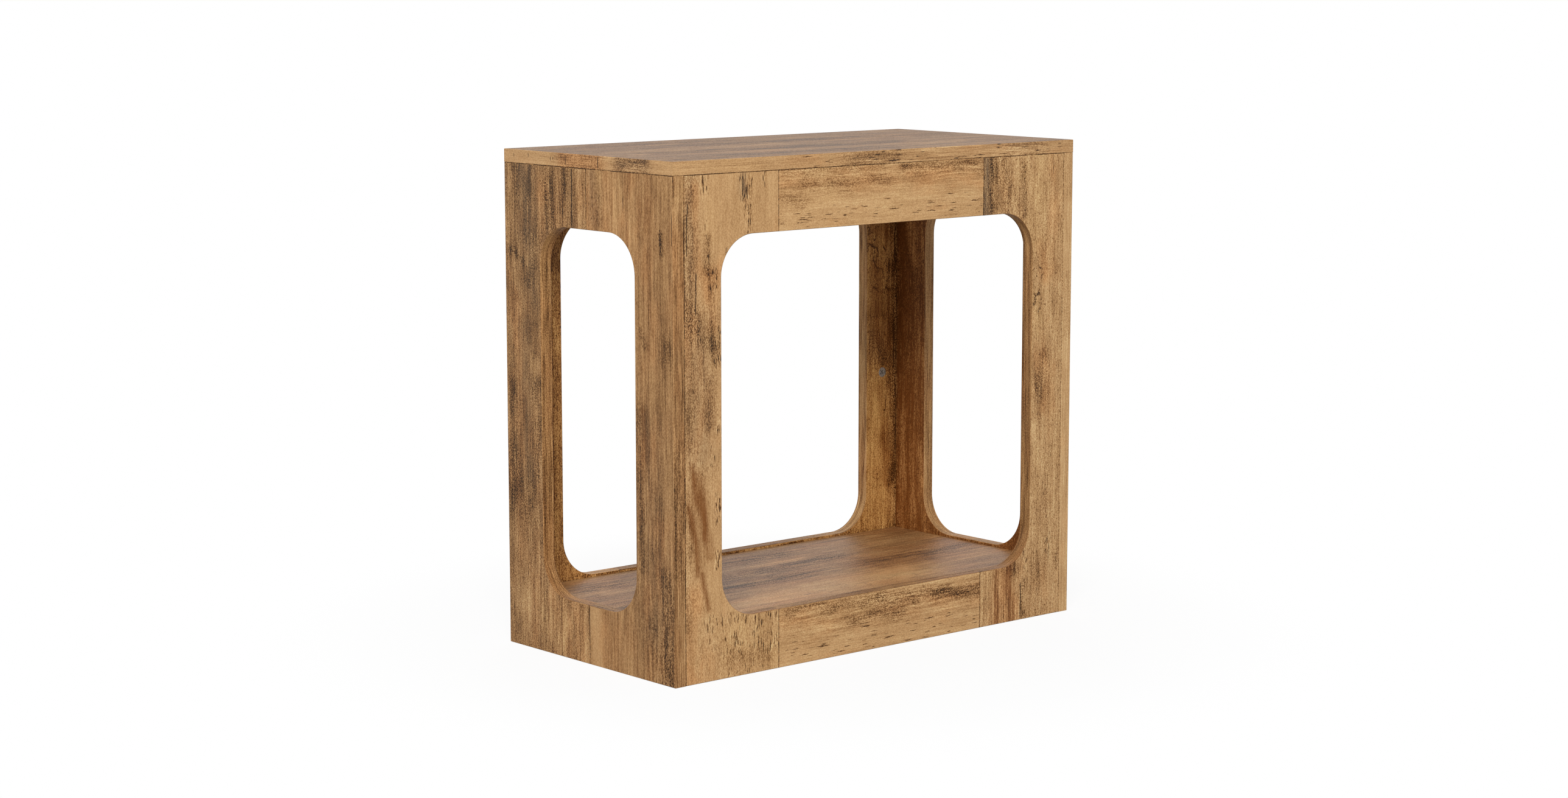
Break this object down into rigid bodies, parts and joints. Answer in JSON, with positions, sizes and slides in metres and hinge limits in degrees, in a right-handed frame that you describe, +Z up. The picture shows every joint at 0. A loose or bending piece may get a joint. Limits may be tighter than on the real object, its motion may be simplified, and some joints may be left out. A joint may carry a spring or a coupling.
{
  "type": "end table with shelf",
  "caption": "Rectangular end table of wood-grain boards, with a round-cornered window framed in each upright face, a flat top and a low shelf inside.",
  "frame": {"origin": "on the floor, under the middle of the table", "axes": "+X to the right along the width, +Y from the front to the back, +Z up"},
  "size_m": [0.6, 0.299, 0.561],
  "materials": {
    "top_board": "wood-grain laminate, satin",
    "shelf_board": "wood-grain laminate, satin",
    "side_board": "wood-grain laminate, satin",
    "end_board": "wood-grain laminate, satin",
    "rail_board": "wood-grain laminate, satin",
    "cam_metal": "cast zinc alloy, dull",
    "bolt_steel": "zinc-plated steel",
    "dowel_wood": "bare beech"
  },
  "bodies": {
    "root": {"top_panel": "top_board", "shelf_panel": "shelf_board", "left_side_front_panel": "side_board", "left_side_rear_panel": "side_board", "right_side_front_panel": "side_board", "right_side_rear_panel": "side_board", "front_left_panel": "end_board", "front_right_panel": "end_board", "back_left_panel": "end_board", "back_right_panel": "end_board", "front_top_rail": "rail_board", "front_bottom_rail": "rail_board", "back_top_rail": "rail_board", "back_bottom_rail": "rail_board", "corner_cam_locks": "cam_metal", "rail_cam_locks": "cam_metal", "side_cam_locks": "cam_metal", "top_cam_locks": "cam_metal", "shelf_cam_locks": "cam_metal", "corner_cam_bolts": "bolt_steel", "rail_cam_bolts": "bolt_steel", "side_cam_bolts": "bolt_steel", "top_cam_bolts": "bolt_steel", "shelf_cam_bolts": "bolt_steel", "corner_dowels": "dowel_wood", "rail_dowels": "dowel_wood", "side_dowels": "dowel_wood", "top_dowels": "dowel_wood", "shelf_dowels": "dowel_wood"}
  },
  "joints": []
}
